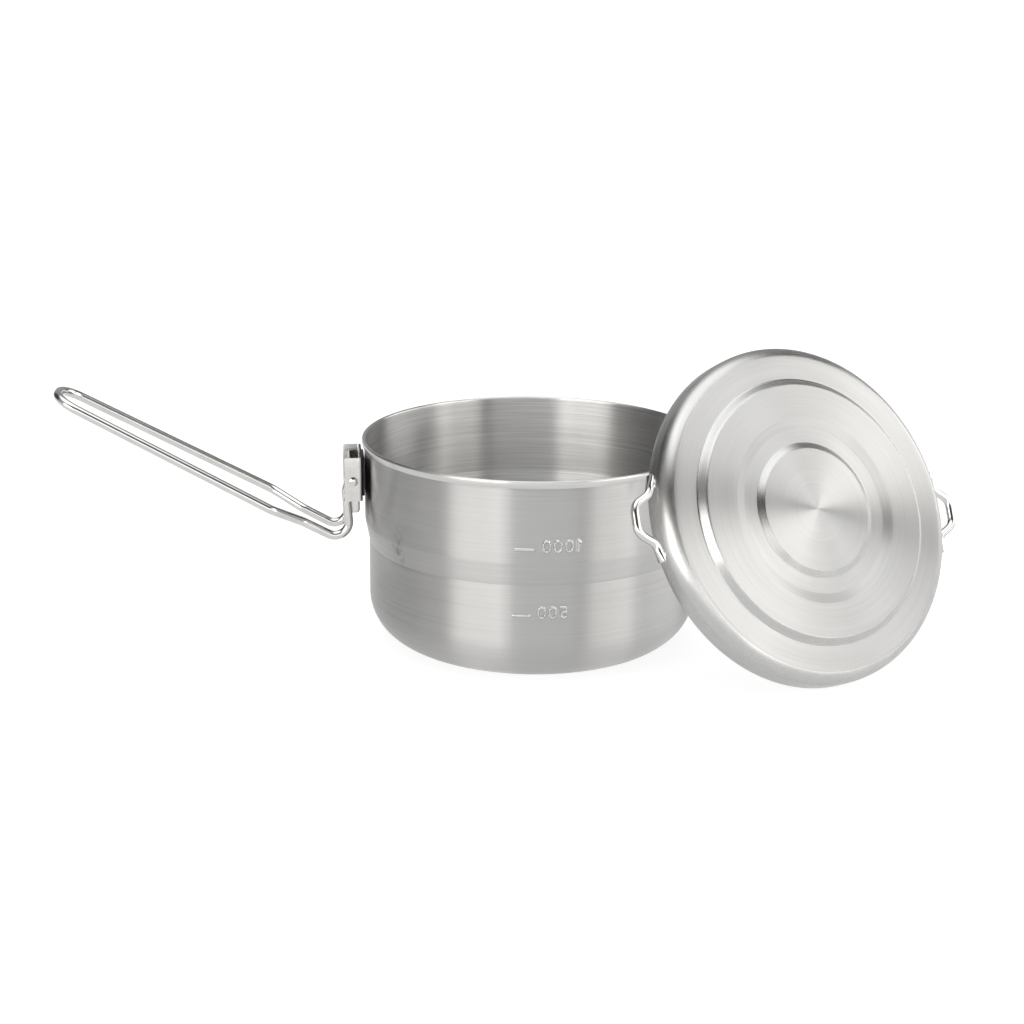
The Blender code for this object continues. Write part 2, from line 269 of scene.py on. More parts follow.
def subdivided(path, length):
    """The same path with points added, so that no run is longer than length."""
    made = [path[0]]
    for before, after in zip(path, path[1:]):
        count = max(1, ceil(np.linalg.norm(after - before) / length - 1e-6))
        made += [before + (after - before) * (step + 1) / count for step in range(count)]
    return made


def placed(name, data):
    """A new object in the scene."""
    item = bpy.data.objects.new(name, data)
    bpy.context.scene.collection.objects.link(item)
    return item


def smoothed(mesh, sharp):
    """Shade a mesh smooth, with hard edges where it bends by more than an angle in degrees."""
    mesh.shade_smooth()
    mesh.set_sharp_from_angle(angle=radians(sharp))


def finished(name, vertices, faces, material, sharp=32.0):
    """A smooth-shaded mesh object with one material."""
    mesh = bpy.data.meshes.new(name)
    mesh.from_pydata([tuple(map(float, v)) for v in vertices], [], faces)
    mesh.materials.append(material)
    builder = bmesh.new()
    builder.from_mesh(mesh)
    bmesh.ops.recalc_face_normals(builder, faces=builder.faces)
    builder.to_mesh(mesh)
    builder.free()
    smoothed(mesh, sharp)
    return placed(name, mesh)


def map_brushing(mesh, places):
    """Add a UV map whose u runs round the z axis, for the direction of the brushing."""
    corner_of = np.zeros(len(mesh.loops), np.int32)
    mesh.loops.foreach_get("vertex_index", corner_of)
    sizes = np.array([polygon.loop_total for polygon in mesh.polygons])
    face_of = np.repeat(np.arange(len(sizes)), sizes)
    x, y, z = places[corner_of].T
    middle = np.zeros((len(sizes), 3))
    np.add.at(middle, face_of, places[corner_of])
    middle /= sizes[:, None]
    facing = np.arctan2(middle[:, 1], middle[:, 0])[face_of]
    out = np.hypot(x, y)
    swing = np.where(out < 1e-7, 0.0, (np.arctan2(y, x) - facing + pi) % (2.0 * pi) - pi)
    coords = np.stack([(facing + swing) / (2.0 * pi) + 0.5, (out + z) * 4.0], 1)
    layer = mesh.uv_layers.new(name="brushing")
    layer.data.foreach_set("uv", coords.astype(np.float32).ravel())


def turned(name, profile, angles, materials, bump=None, frame=None, zones=None):
    """Turn a profile of (radius, height) about z, and then move it by frame.

    bump(radius, angle, height) moves a point outwards, and zones gives each run of the profile
    the number of its material.  The mesh keeps each point's place before the move, which its
    material reads.
    """
    vertices = []
    rows = []
    for radius, height in profile:
        if radius == 0.0:
            rows.append([len(vertices)] * len(angles))
            vertices.append((0.0, 0.0, height))
            continue
        rows.append(range(len(vertices), len(vertices) + len(angles)))
        for angle in angles:
            r = radius + (bump(radius, angle, height) if bump else 0.0)
            vertices.append((r * cos(angle), r * sin(angle), height))
    faces = []
    for lower, upper in zip(rows, rows[1:]):
        for index in range(len(angles)):
            following = (index + 1) % len(angles)
            corners = (lower[index], lower[following], upper[following], upper[index])
            faces.append(tuple(dict.fromkeys(corners)))
    item = finished(name, vertices, faces, materials[0])
    mesh = item.data
    if zones:
        for material in materials[1:]:
            mesh.materials.append(material)
        mesh.polygons.foreach_set("material_index", np.repeat(np.array(zones, np.int32), len(angles)))
    places = np.zeros(len(mesh.vertices) * 3, np.float32)
    mesh.vertices.foreach_get("co", places)
    kept = mesh.attributes.new("turned_place", "FLOAT_VECTOR", "POINT")
    kept.data.foreach_set("vector", places)
    map_brushing(mesh, places.reshape(-1, 3))
    if frame:
        mesh.transform(frame)
    return item


def ring_faces(rings, sides):
    """Faces between neighbouring rings of points, and a cap at each end."""
    faces = []
    for ring in range(rings - 1):
        for side in range(sides):
            following = (side + 1) % sides
            low, high = ring * sides, (ring + 1) * sides
            faces.append((low + side, low + following, high + following, high + side))
    faces.append(tuple(range(sides)))
    faces.append(tuple(range((rings - 1) * sides, rings * sides)))
    return faces


def swept(name, path, section, material, normal, sides):
    """A closed tube along a path; section(index) gives its half-thickness along and across the normal."""
    vertices = []
    normal = np.array(normal, float)
    for index, point in enumerate(path):
        tangent = path[min(index + 1, len(path) - 1)] - path[max(index - 1, 0)]
        tangent = tangent / np.linalg.norm(tangent)
        normal = normal - tangent * (normal @ tangent)
        normal = normal / np.linalg.norm(normal)
        across = np.cross(tangent, normal)
        first, second = section(index)
        for side in range(sides):
            angle = 2.0 * pi * side / sides
            vertices.append(point + normal * first * cos(angle) + across * second * sin(angle))
    return finished(name, vertices, ring_faces(len(path), sides), material)


def between(name, lower, upper, material=None):
    """A solid between two outlines that have the same number of points."""
    count = len(lower)
    faces = [tuple(range(count)), tuple(range(count, 2 * count))]
    for index in range(count):
        following = (index + 1) % count
        faces.append((index, following, count + following, count + index))
    return finished(name, lower + upper, faces, material)


def prism(name, outline, low, high, material=None):
    """Extrude an outline of (x, z) points along Y."""
    lower, upper = ([(x, y, z) for x, z in outline] for y in (low, high))
    return between(name, lower, upper, material)


def cross_cylinder(name, radius, low, high):
    """A cylinder along Y, round the handle's pivot."""
    return prism(name, arc((-PIVOT_S, PIVOT_Z), radius, 0.0, 360.0, 40)[:-1], low, high)


def combined(item, helper, operation):
    """Join or cut a piece with a construction shape, and remove that shape."""
    modifier = item.modifiers.new("combine", "BOOLEAN")
    modifier.operation = operation
    modifier.object = helper
    modifier.solver = "EXACT"
    settle(item)
    bpy.data.objects.remove(helper)


def settle(item):
    """Replace a piece's mesh by what its modifiers make of it."""
    depsgraph = bpy.context.evaluated_depsgraph_get()
    mesh = bpy.data.meshes.new_from_object(item.evaluated_get(depsgraph))
    item.modifiers.clear()
    item.data = mesh


def bevelled(item, width, segments, above):
    """Round the edges where a piece bends by more than an angle in degrees."""
    modifier = item.modifiers.new("edges", "BEVEL")
    modifier.width = width
    modifier.segments = segments
    modifier.limit_method = "ANGLE"
    modifier.angle_limit = radians(above)
    settle(item)


# ---------------------------------------------------------------- materials

def add_node(tree, kind, links=None, **settings):
    """A shader node; links gives each input's value, or the socket that feeds it."""
    made = tree.nodes.new(kind)
    for name, value in settings.items():
        setattr(made, name, value)
    for name, value in (links or {}).items():
        if isinstance(value, bpy.types.NodeSocket):
            tree.links.new(value, made.inputs[name])
        else:
            made.inputs[name].default_value = value
    return made


def calc(tree, operation, first, second=0.0, third=0.0):
    return add_node(tree, "ShaderNodeMath", {0: first, 1: second, 2: third}, operation=operation).outputs[0]


def noise(tree, vector, scale, detail=2.0, rough=0.5):
    made = add_node(tree, "ShaderNodeTexNoise",
                    {"Vector": vector, "Scale": scale, "Detail": detail, "Roughness": rough})
    return made.outputs[0]


def ramped(tree, value, low, high, to_low, to_high):
    made = add_node(tree, "ShaderNodeMapRange",
                    {"Value": value, "From Min": low, "From Max": high, "To Min": to_low, "To Max": to_high})
    return made.outputs[0]


def new_material(name, metallic=1.0):
    material = bpy.data.materials.new(name)
    material.use_nodes = True
    tree = material.node_tree
    shader = tree.nodes["Principled BSDF"]
    shader.inputs["Metallic"].default_value = metallic
    return material, tree, shader


def scaled(tree, colour, factor):
    return add_node(tree, "ShaderNodeVectorMath", {0: colour, "Scale": factor}, operation="SCALE").outputs[0]


def turned_steel(name, colour, roughness, anisotropy, rise, contrast, scuff=None):
    """Steel brushed round the z axis; rise is +1 where height adds to the way along the profile.

    contrast is how much the brushing varies the colour, and scuff a darker worn patch.
    """
    material, tree, shader = new_material(name)
    place = add_node(tree, "ShaderNodeAttribute", attribute_name="turned_place").outputs["Vector"]
    x, y, z = add_node(tree, "ShaderNodeSeparateXYZ", {0: place}).outputs
    squares = [calc(tree, "MULTIPLY", side, side) for side in (x, y)]
    radius = calc(tree, "SQRT", calc(tree, "ADD", *squares))
    along = calc(tree, "ADD", radius, calc(tree, "MULTIPLY", z, rise))

    def streaks(length, width, detail):
        vector = add_node(tree, "ShaderNodeCombineXYZ",
                          {0: calc(tree, "DIVIDE", x, length), 1: calc(tree, "DIVIDE", y, length),
                           2: calc(tree, "DIVIDE", along, width)}).outputs[0]
        return noise(tree, vector, 1.0, detail, 0.6)

    fine = streaks(length=0.040, width=0.00022, detail=3.0)
    coarse = streaks(length=0.070, width=0.0009, detail=2.0)
    smudge = noise(tree, place, 38.0, 3.0, 0.55)
    grain = calc(tree, "ADD", calc(tree, "MULTIPLY", fine, 0.62), calc(tree, "MULTIPLY", coarse, 0.38))
    shade = ramped(tree, grain, 0.30, 0.70, 1.0 - contrast, 1.0 + 0.6 * contrast)
    shade = calc(tree, "MULTIPLY", shade, ramped(tree, smudge, 0.3, 0.7, 0.97, 1.02))
    if scuff:
        off = add_node(tree, "ShaderNodeVectorMath", {0: place, 1: scuff["centre"]}, operation="SUBTRACT")
        off = add_node(tree, "ShaderNodeVectorMath", {0: off.outputs[0], 1: scuff["stretch"]},
                       operation="MULTIPLY")
        distance = add_node(tree, "ShaderNodeVectorMath", {0: off.outputs[0]}, operation="LENGTH")
        ragged = ramped(tree, noise(tree, place, 420.0, 4.0, 0.7), 0.42, 0.66, 0.0, 1.0)
        patch = calc(tree, "MULTIPLY", ramped(tree, distance.outputs["Value"], 0.2, 1.0, 1.0, 0.0), ragged)
        left = calc(tree, "SUBTRACT", 1.0, calc(tree, "MULTIPLY", patch, scuff["depth"]))
        shade = calc(tree, "MULTIPLY", shade, left)
    tree.links.new(scaled(tree, colour, shade), shader.inputs["Base Color"])
    gloss = calc(tree, "ADD", ramped(tree, grain, 0.3, 0.7, roughness + 0.035, roughness - 0.035),
                 ramped(tree, smudge, 0.3, 0.7, -0.02, 0.02))
    tree.links.new(gloss, shader.inputs["Roughness"])
    shader.inputs["Anisotropic"].default_value = anisotropy
    shader.inputs["Anisotropic Rotation"].default_value = 0.25
    tangent = add_node(tree, "ShaderNodeTangent", direction_type="UV_MAP", uv_map="brushing")
    tree.links.new(tangent.outputs[0], shader.inputs["Tangent"])
    relief = add_node(tree, "ShaderNodeBump", {"Strength": 1.0, "Distance": 0.000004, "Height": grain})
    tree.links.new(relief.outputs[0], shader.inputs["Normal"])
    return material


def polished_steel(name, colour, roughness, wave):
    """Bright drawn wire or pressed sheet, whose surface is uneven by wave."""
    material, tree, shader = new_material(name)
    place = add_node(tree, "ShaderNodeTexCoord").outputs["Object"]
    cloudy = noise(tree, place, 130.0, 3.0, 0.6)
    speck = noise(tree, place, 1900.0, 2.0, 0.5)
    shade = calc(tree, "MULTIPLY", ramped(tree, cloudy, 0.3, 0.7, 0.93, 1.04),
                 ramped(tree, speck, 0.28, 0.6, 0.94, 1.0))
    tree.links.new(scaled(tree, colour, shade), shader.inputs["Base Color"])
    gloss = ramped(tree, cloudy, 0.3, 0.7, roughness * 0.8, roughness * 1.3)
    tree.links.new(gloss, shader.inputs["Roughness"])
    relief = add_node(tree, "ShaderNodeBump",
                      {"Strength": 1.0, "Distance": wave, "Height": noise(tree, place, 420.0, 2.0, 0.5)})
    tree.links.new(relief.outputs[0], shader.inputs["Normal"])
    return material


# ---------------------------------------------------------------- pot

def near_segment(x, y, x0, y0, x1, y1):
    """Distance from a point to a segment."""
    length = (x1 - x0) ** 2 + (y1 - y0) ** 2
    share = max(0.0, min(1.0, ((x - x0) * (x1 - x0) + (y - y0) * (y1 - y0)) / length))
    return hypot(x - x0 - share * (x1 - x0), y - y0 - share * (y1 - y0))


def digit_distance(digit, x, y):
    """Distance from (x, y) to a digit's strokes; x grows to its right and its middle is (0, 0).

    The strokes' ends are given as shares of the digit's half width, half, and half height, top.
    """
    top = DIGIT_HEIGHT / 2.0 - MARK_STROKE
    half = DIGIT_HEIGHT * 0.27
    if digit == "0":
        reach = sqrt((x / half) ** 2 + (y / top) ** 2)
        slope = max(sqrt((x / half ** 2) ** 2 + (y / top ** 2) ** 2), 1e-3)
        return abs(reach - 1.0) * max(reach, 0.2) / slope if reach > 0.2 else half
    if digit == "1":
        stem = near_segment(x, y, 0.0, -top, 0.0, top)
        return min(stem, near_segment(x, y, 0.0, top, -half * 0.75, top * 0.55))
    bowl = top * 0.56
    middle = bowl - top
    angle = atan2(y - middle, x + half * 0.15)
    ring = abs(hypot(x + half * 0.15, (y - middle)) - bowl)
    if not -2.6 < angle < 2.2:
        ring = half
    waist = near_segment(x, y, -half * 0.75, middle + bowl * 0.75, -half * 0.55, top)
    return min(ring, waist, near_segment(x, y, -half * 0.55, top, half * 0.85, top))


def mark_strokes():
    """Each volume mark: digits as (digit, arc position, height) and bars as (start, stop, height)."""
    digits = []
    bars = []
    for text, first, height, bar_start in VOLUME_MARKS:
        for place, digit in enumerate(text):
            shift = ONE_SHIFT if digit == "1" else 0.0
            digits.append((digit, first + place * DIGIT_PITCH - shift, height))
        bars.append((bar_start, bar_start + BAR_LENGTH, height - BAR_DROP))
    return digits, bars


DIGITS, BARS = mark_strokes()


def stroke_height(distance):
    """Cross-section of a pressed stroke, from 1 on its line to 0 beyond its shoulder."""
    share = max(0.0, min(1.0, (MARK_STROKE + MARK_EDGE / 2.0 - distance) / MARK_EDGE))
    return share * share * (3.0 - 2.0 * share)


def pot_relief(radius, angle, height):
    """How far the pot's wall stands out from its turned shape."""
    if radius < POT_LOWER_RADIUS - 2.0 * POT_SHEET:
        return 0.0
    rise = 0.0
    if MARKED_HEIGHTS[0] < height < MARKED_HEIGHTS[1]:
        turn = (angle - MARK_TURN + pi) % (2.0 * pi) - pi
        along = turn * POT_UPPER_RADIUS
        if MARKED_ARC[0] < along < MARKED_ARC[1]:
            for digit, middle, level in DIGITS:
                if abs(along - middle) < DIGIT_REACH[0] and abs(height - level) < DIGIT_REACH[1]:
                    rise = max(rise, stroke_height(digit_distance(digit, middle - along, height - level)))
            for start, stop, level in BARS:
                if abs(height - level) < BAR_REACH:
                    bar = near_segment(along, height, start, level, stop, level)
                    end = hypot(along - stop, height - level) - MARK_STROKE * 0.5
                    rise = max(rise, 0.8 * stroke_height(bar), 1.15 * stroke_height(end))
        crease = (height - POT_STEP_LOW) / POT_CREASE_HALF_WIDTH
        rise -= POT_CREASE_DEPTH / MARK_RISE * exp(-crease * crease)
    for side in (-1.0, 1.0):
        turn = (angle - pi - side * WELD_ANGLE + pi) % (2.0 * pi) - pi
        offset = hypot(turn * radius, height - WELD_Z) / WELD_RADIUS
        if offset < 3.0:
            rise -= WELD_DEPTH / MARK_RISE * exp(-offset * offset)
    return rise * MARK_RISE


def spread(ranges):
    """Values through ranges (start, stop, step), each start included."""
    values = []
    for start, stop, step in ranges:
        count = max(1, ceil((stop - start) / step))
        values += [start + (stop - start) * index / count for index in range(count)]
    return values


def graded(path):
    """Divide a path up or down the wall into rows, finer ones where the marks and the welds are."""
    made = [path[0]]
    for before, after in zip(path, path[1:]):
        if abs(after[1] - before[1]) <= SHORT_RUN:
            made.append(after)
            continue
        low, high = sorted((before[1], after[1]))
        cuts = {min(max(z, low), high) for band in FINE_HEIGHTS for z in band} | {low, high}
        cuts = sorted(cuts, reverse=bool(after[1] < before[1]))
        for start, stop in zip(cuts, cuts[1:]):
            middle = (start + stop) / 2.0
            fine = any(band[0] < middle < band[1] for band in FINE_HEIGHTS)
            count = max(1, ceil(abs(stop - start) / (FINE_STEP if fine else WALL_STEP) - 1e-6))
            for index in range(count):
                z = start + (stop - start) * (index + 1) / count
                share = (z - before[1]) / (after[1] - before[1])
                made.append(before + (after - before) * share)
    return made


def pot_columns():
    """Angles of the pot's columns, once round from beside one weld."""
    far = -pi - WELD_ANGLE
    near = -pi + WELD_ANGLE
    wide = WELD_HALF_ARC / POT_UPPER_RADIUS
    first, last = (MARK_TURN + along / POT_UPPER_RADIUS for along in FINE_ARC)
    return spread([(far - wide, far + wide, WELD_COLUMN), (far + wide, near - wide, WALL_COLUMN),
                   (near - wide, near + wide, WELD_COLUMN), (near + wide, first, WALL_COLUMN),
                   (first, last, FINE_STEP / POT_UPPER_RADIUS),
                   (last, far - wide + 2.0 * pi, WALL_COLUMN)])


def make_pot(materials):
    low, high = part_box("pot_body")
    rim = high.x
    top = high.z
    hem_low = top - POT_RIM_HEIGHT
    mouth = POT_UPPER_RADIUS - POT_SHEET
    roll = (rim - mouth) / 2.0
    bottom_flat = POT_LOWER_RADIUS - POT_CORNER_RADIUS
    inner_low = POT_LOWER_RADIUS - POT_SHEET
    corner = (bottom_flat, POT_CORNER_RADIUS)
    outside = [((POT_LOWER_RADIUS, POT_CORNER_RADIUS), 0.0),
               ((POT_LOWER_RADIUS, POT_STEP_LOW), POT_STEP_BEND),
               ((POT_UPPER_RADIUS, POT_STEP_HIGH), POT_STEP_BEND),
               ((POT_UPPER_RADIUS, hem_low), 0.0)]
    hem_height = top - roll - hem_low
    hem_curve = (hem_height ** 2 + HEM_BULGE ** 2) / (2.0 * HEM_BULGE)
    hem_sweep = degrees(asin(hem_height / hem_curve))
    inside = [((mouth, top - roll), 0.0),
              ((mouth, POT_STEP_HIGH), POT_STEP_BEND),
              ((inner_low, POT_STEP_LOW), POT_STEP_BEND),
              ((inner_low, POT_CORNER_RADIUS), 0.0)]

    profile = [(0.0, 0.0)]
    profile += [(bottom_flat * share, 0.0) for share in BOTTOM_ROWS]
    profile += arc(corner, POT_CORNER_RADIUS, -90.0, 0.0, 24)[:-1]
    profile += [tuple(point) for point in graded(filleted(outside, 8))]
    hem_start = len(profile) - 1
    profile += arc((rim - hem_curve, top - roll), hem_curve, -hem_sweep, 0.0, 8)
    profile += arc((rim - roll, top - roll), roll, 0.0, 180.0, 12)[1:-1]
    hem_stop = len(profile) - 1
    profile += [tuple(point) for point in graded(filleted(inside, 8))]
    profile += arc(corner, POT_CORNER_RADIUS - POT_SHEET, 0.0, -90.0, 24)[1:]
    profile += [(bottom_flat * share, POT_SHEET) for share in reversed(BOTTOM_ROWS)]
    profile += [(0.0, POT_SHEET)]
    zones = [WALL if run < hem_start else HEM if run <= hem_stop else INSIDE
             for run in range(len(profile) - 1)]
    pot = turned("pot_shell", profile, pot_columns(), materials, pot_relief, zones=zones)
    for polygon in pot.data.polygons:
        x, y, z = polygon.center
        if 0.0 < polygon.area < 2.0 * MARK_STROKE ** 2 and POT_CORNER_RADIUS < z < hem_low:
            if pot_relief(hypot(x, y), atan2(y, x), z) > MARK_SHOWN * MARK_RISE:
                polygon.material_index = MARK
    return pot


# ---------------------------------------------------------------- lid

def lid_matrix():
    """Stand the lid on its edge at z = 0, with its face turned and leaning back."""
    outward = Vector((sin(LID_TURN) * cos(LID_LEAN), -cos(LID_TURN) * cos(LID_LEAN), sin(LID_LEAN)))
    level = Vector((cos(LID_TURN), sin(LID_TURN), 0.0))
    upward = outward.cross(level)
    frame = Matrix((level, upward, outward)).transposed().to_4x4()
    centre = Vector((LID_CENTRE_X, LID_CENTRE_Y, LID_RADIUS * cos(LID_LEAN)))
    return Matrix.Translation(centre) @ frame @ Matrix.Rotation(LID_SPIN, 4, "Z")


def make_lid(materials):
    level = LID_HEIGHT
    face = [((0.0, level + LID_CENTRE_LEVEL + LID_CONE_RISE), 0.0),
            ((LID_CENTRE_OUTER - LID_CENTRE_SLOPE, level + LID_CENTRE_LEVEL), LID_BEND),
            ((LID_CENTRE_OUTER, level + LID_GROOVE_LEVEL), LID_BEND),
            ((LID_GROOVE_OUTER, level + LID_GROOVE_LEVEL), LID_BEND * 2.0),
            ((LID_RAISED_INNER, level + LID_RAISED_LEVEL), LID_BEND * 2.0),
            ((LID_RAISED_OUTER - LID_RAISED_SLOPE, level + LID_RAISED_LEVEL), LID_BEND),
            ((LID_RAISED_OUTER, level), LID_BEND),
            ((LID_RADIUS - LID_CORNER_RADIUS, level), 0.0)]
    surface = [tuple(point) for point in subdivided(filleted(face, 6), LID_ROW)]
    corner = (LID_RADIUS - LID_CORNER_RADIUS, LID_HEIGHT - LID_CORNER_RADIUS)
    lip = LID_SHEET / 2.0
    profile = list(surface)
    profile += arc(corner, LID_CORNER_RADIUS, 90.0, 0.0, 16)[1:]
    profile += [(LID_RADIUS, SKIRT_ROW), (LID_RADIUS, lip)]
    profile += arc((LID_RADIUS - lip, lip), lip, 0.0, -180.0, 6)[1:]
    profile += [(LID_RADIUS - LID_SHEET, SKIRT_ROW)]
    profile += arc(corner, LID_CORNER_RADIUS - LID_SHEET, 0.0, 90.0, 16)
    profile += [(radius, height - LID_SHEET) for radius, height in reversed(surface[:-1])]
    angles = [2.0 * pi * index / LID_COLUMNS for index in range(LID_COLUMNS)]
    zones = []
    for (radius, height), (next_radius, next_height) in zip(profile, profile[1:]):
        zones.append(int(abs(next_height - height) > FORMED_SLOPE * abs(next_radius - radius)))
    return turned("lid_shell_fine", profile, angles, materials, frame=lid_matrix(), zones=zones)


def make_ear(name, middle, material):
    """A wire ear whose two hammered ends are welded along the lid's skirt."""
    def lid_point(radius, angle):
        return (radius * cos(angle), radius * sin(angle), EAR_HEIGHT)

    seat = LID_RADIUS + GAP + EAR_WIRE_RADIUS
    half = [(seat, EAR_END_ANGLE), (seat / cos((EAR_END_ANGLE - EAR_FOOT_ANGLE) / 2.0), EAR_FOOT_ANGLE),
            (EAR_REACH, EAR_TOP_ANGLE)]
    corners = [(lid_point(radius, middle + angle), EAR_BEND_RADIUS) for radius, angle in half]
    corners += [(lid_point(radius, middle - angle), EAR_BEND_RADIUS) for radius, angle in reversed(half)]
    path = subdivided(filleted(corners, 8), EAR_ROW)
    run = [0.0]
    for before, after in zip(path, path[1:]):
        run.append(run[-1] + float(np.linalg.norm(after - before)))

    def section(index):
        """Round wire that turns into a flat tongue towards each end."""
        end = min(run[index], run[-1] - run[index])
        share = max(0.0, min(1.0, 1.0 - end / EAR_END_FLAT))
        share = share * share * (3.0 - 2.0 * share)
        size = EAR_WIRE_RADIUS * min(1.0, EAR_TIP_SHARE + end / EAR_TIP_LENGTH)
        return size * (1.0 - EAR_THINNING * share), size * (1.0 + EAR_WIDENING * share)

    outward = (cos(middle), sin(middle), 0.0)
    ear = swept(name, path, section, material, outward, 24)
    ear.data.transform(lid_matrix())
    return ear


def make_weld(name, angle, material):
    """A small weld bead between an ear's end and the lid's skirt."""
    vertices = []
    rings, sides = 9, 16
    outward, along, upward = BEAD_SIZE
    seat = LID_RADIUS + BEAD_LIFT
    for ring in range(rings):
        across = pi * (ring + 0.5) / rings
        for side in range(sides):
            turn = 2.0 * pi * side / sides
            wobble = 1.0 + 0.08 * sin(3.0 * turn + 5.0 * across)
            vertices.append((seat + outward * sin(across) * cos(turn) * wobble, along * cos(across),
                             EAR_HEIGHT + upward * sin(across) * sin(turn) * wobble))
    bead = finished(name, vertices, ring_faces(rings, sides), material, 60.0)
    bead.data.transform(lid_matrix() @ Matrix.Rotation(angle, 4, "Z"))
    return bead


# ---------------------------------------------------------------- handle, bracket, slide, pin

def make_handle(material):
    def arm_height(s):
        return ELBOW[1] + (s - ELBOW[0]) * tan(ARM_RISE)

    side = [((PIVOT_S, PIVOT_Z), LEG_SPACING, 0.0),
            (LEG_SHOULDER, LEG_SPACING, SHOULDER_BEND),
            (ELBOW, LEG_SPACING, ELBOW_BEND),
            ((NECK_INNER_S, arm_height(NECK_INNER_S)), NECK_SPACING, NECK_BEND),
            ((NECK_OUTER_S, arm_height(NECK_OUTER_S)), LOOP_SPACING, NECK_BEND),
            ((LOOP_END_S, arm_height(LOOP_END_S)), TIP_SPACING, LOOP_BEND)]
    corners = [((-s, -y, z), bend) for (s, z), y, bend in side]
    corners += [((-s, y, z), bend) for (s, z), y, bend in reversed(side)]
    path = filleted(corners, 12)
    wire = swept("handle_wire_fine", path, lambda index: (WIRE_RADIUS, WIRE_RADIUS), material,
                 (0.0, 1.0, 0.0), 28)
    for middle in (-LEG_SPACING, LEG_SPACING):
        for tool, radius, reach, operation in (("eye", EYE_RADIUS, EYE_THICKNESS / 2.0, "UNION"),
                                               ("eye_hole", EYE_HOLE_RADIUS, EYE_HOLE_REACH, "DIFFERENCE")):
            combined(wire, cross_cylinder(tool, radius, middle - reach, middle + reach), operation)
    smoothed(wire.data, 40.0)
    return wire


def make_pin(material):
    """A headed pin along Y, with domed heads."""
    shank = BRACKET_HALF_WIDTH + GAP
    end = shank + PIN_HEAD_THICKNESS
    dome = (PIN_HEAD_RADIUS ** 2 + PIN_DOME ** 2) / (2.0 * PIN_DOME)
    half = degrees(acos((dome - PIN_DOME) / dome))
    cap = arc((0.0, end - dome), dome, 90.0, 90.0 - half, 8)
    profile = [(radius, -height) for radius, height in cap]
    profile[0] = (0.0, -end)
    profile += [(PIN_HEAD_RADIUS, -shank), (PIN_RADIUS, -shank)]
    profile += [(PIN_RADIUS, shank), (PIN_HEAD_RADIUS, shank)]
    profile += [(radius, height) for radius, height in reversed(cap[1:])] + [(0.0, end)]
    angles = [2.0 * pi * index / 40 for index in range(40)]
    frame = Matrix.Translation((-PIVOT_S, 0.0, PIVOT_Z)) @ Matrix.Rotation(radians(-90.0), 4, "X")
    return turned("pivot_pin_fine", profile, angles, [material], frame=frame)


def bent_channel(name, plan, sheet, outline, material):
    """Bent sheet along a plan path of (x, y) points, between the two heights that outline(x) gives."""
    vertices = []
    faces = []
    rows = 5
    for x, y in plan:
        low, high = outline(x)
        for row in range(rows):
            vertices.append((x, y, low + (high - low) * row / (rows - 1)))
    for column in range(len(plan) - 1):
        for row in range(rows - 1):
            first = column * rows + row
            faces.append((first, first + rows, first + rows + 1, first + 1))
    mesh = bpy.data.meshes.new(name)
    mesh.from_pydata(vertices, [], faces)
    mesh.materials.append(material)
    item = placed(name, mesh)
    solid = item.modifiers.new("sheet", "SOLIDIFY")
    solid.thickness = sheet
    solid.offset = 0.0
    solid.use_even_offset = True
    settle(item)
    return item


def corner_outline(low, high, front, rounding):
    """Heights of a cheek at x, whose free corners at x = -front are rounded."""
    def heights(x):
        past = max(0.0, -x - (front - rounding))
        cut = rounding - sqrt(max(0.0, rounding ** 2 - past ** 2))
        return low + cut, high - cut
    return heights


def make_bracket(material, painted_shade):
    """A bent bracket on its weld pad; what faces the pot is painted near-black, as painted shade for the
    crevice between bracket and wall.
    """
    half_sheet = BRACKET_SHEET / 2.0
    back = BRACKET_BACK_S + half_sheet
    side = BRACKET_HALF_WIDTH - half_sheet
    front = BRACKET_FRONT_S
    corners = [((-front, -side), 0.0), ((-back, -side), BRACKET_BEND), ((-back, side), BRACKET_BEND),
               ((-front, side), 0.0)]
    plan = filleted(corners, 8)
    edge = [-front + BRACKET_CORNER * (1.0 - cos(radians(90.0) * step / 6)) for step in range(1, 7)]
    plan = ([plan[0]] + [np.array((x, -side)) for x in edge] + plan[1:-1]
            + [np.array((x, side)) for x in reversed(edge)] + [plan[-1]])
    outline = corner_outline(BRACKET_LOW, BRACKET_HIGH, front, BRACKET_CORNER)
    bracket = bent_channel("handle_bracket_fine", plan, BRACKET_SHEET, outline, material)
    pad_outline = [(-POT_UPPER_RADIUS - GAP, PAD_LOW), (-BRACKET_BACK_S - half_sheet, PAD_LOW),
                   (-BRACKET_BACK_S - half_sheet, PAD_HIGH), (-POT_UPPER_RADIUS - GAP, PAD_HIGH)]
    combined(bracket, prism("pad", pad_outline, -PAD_HALF_WIDTH, PAD_HALF_WIDTH, material), "UNION")
    reach = BRACKET_HALF_WIDTH + CUT_MARGIN
    combined(bracket, cross_cylinder("hole", PIN_RADIUS + GAP, -reach, reach), "DIFFERENCE")
    bevelled(bracket, EDGE_BREAK, 3, 50.0)
    smoothed(bracket.data, 40.0)
    # The faces towards the pot, on the pad and the back plate, take near-black steel: painted shade for the
    # dark crevice between the bracket and the wall.
    bracket.data.materials.append(painted_shade)
    for polygon in bracket.data.polygons:
        polygon.material_index = int(polygon.center.x > -BRACKET_BACK_S - BRACKET_SHEET)
    return bracket


